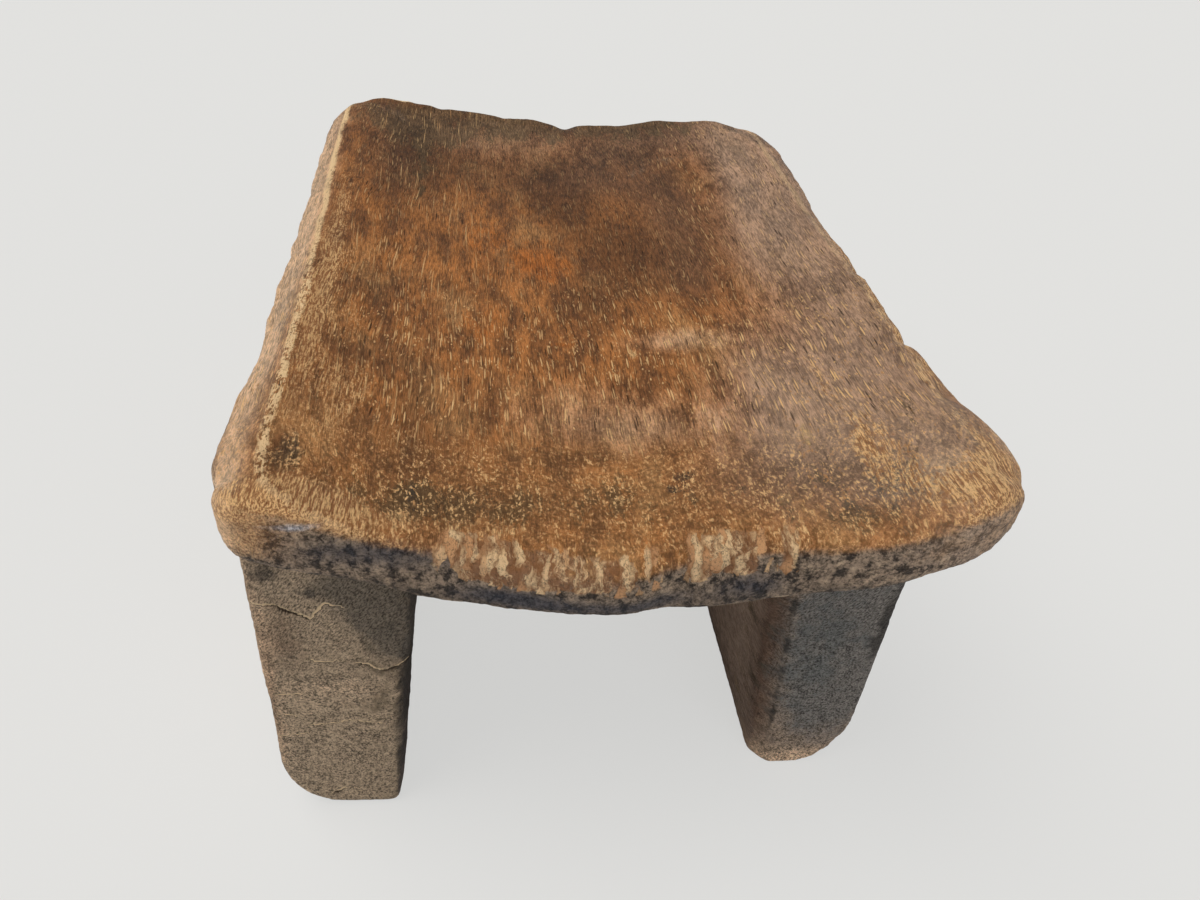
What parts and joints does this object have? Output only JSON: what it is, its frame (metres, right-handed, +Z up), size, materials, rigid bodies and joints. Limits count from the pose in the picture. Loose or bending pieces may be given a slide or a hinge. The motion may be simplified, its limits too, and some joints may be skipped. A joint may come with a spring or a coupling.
{
  "type": "carved wooden stool",
  "caption": "Low carved hardwood stool: a bowed oblong seat with a rolled front lip on thick slab legs cut from the same block.",
  "frame": {"origin": "on the floor, under the middle of the seat's bounding box", "axes": "+X to the right seen from the front lip, +Y towards the back edge, +Z up"},
  "size_m": [0.3282, 0.4973, 0.2137],
  "materials": {
    "seat_wood": "hand-polished by use, warm brown with pale open grain and worn golden rims",
    "leg_wood": "dry grey-brown adzed hardwood with drying cracks"
  },
  "bodies": {
    "root": {"seat": "seat_wood", "front_left_leg": "leg_wood", "front_right_leg": "leg_wood", "rear_left_leg": "leg_wood", "rear_right_leg": "leg_wood"}
  },
  "joints": []
}
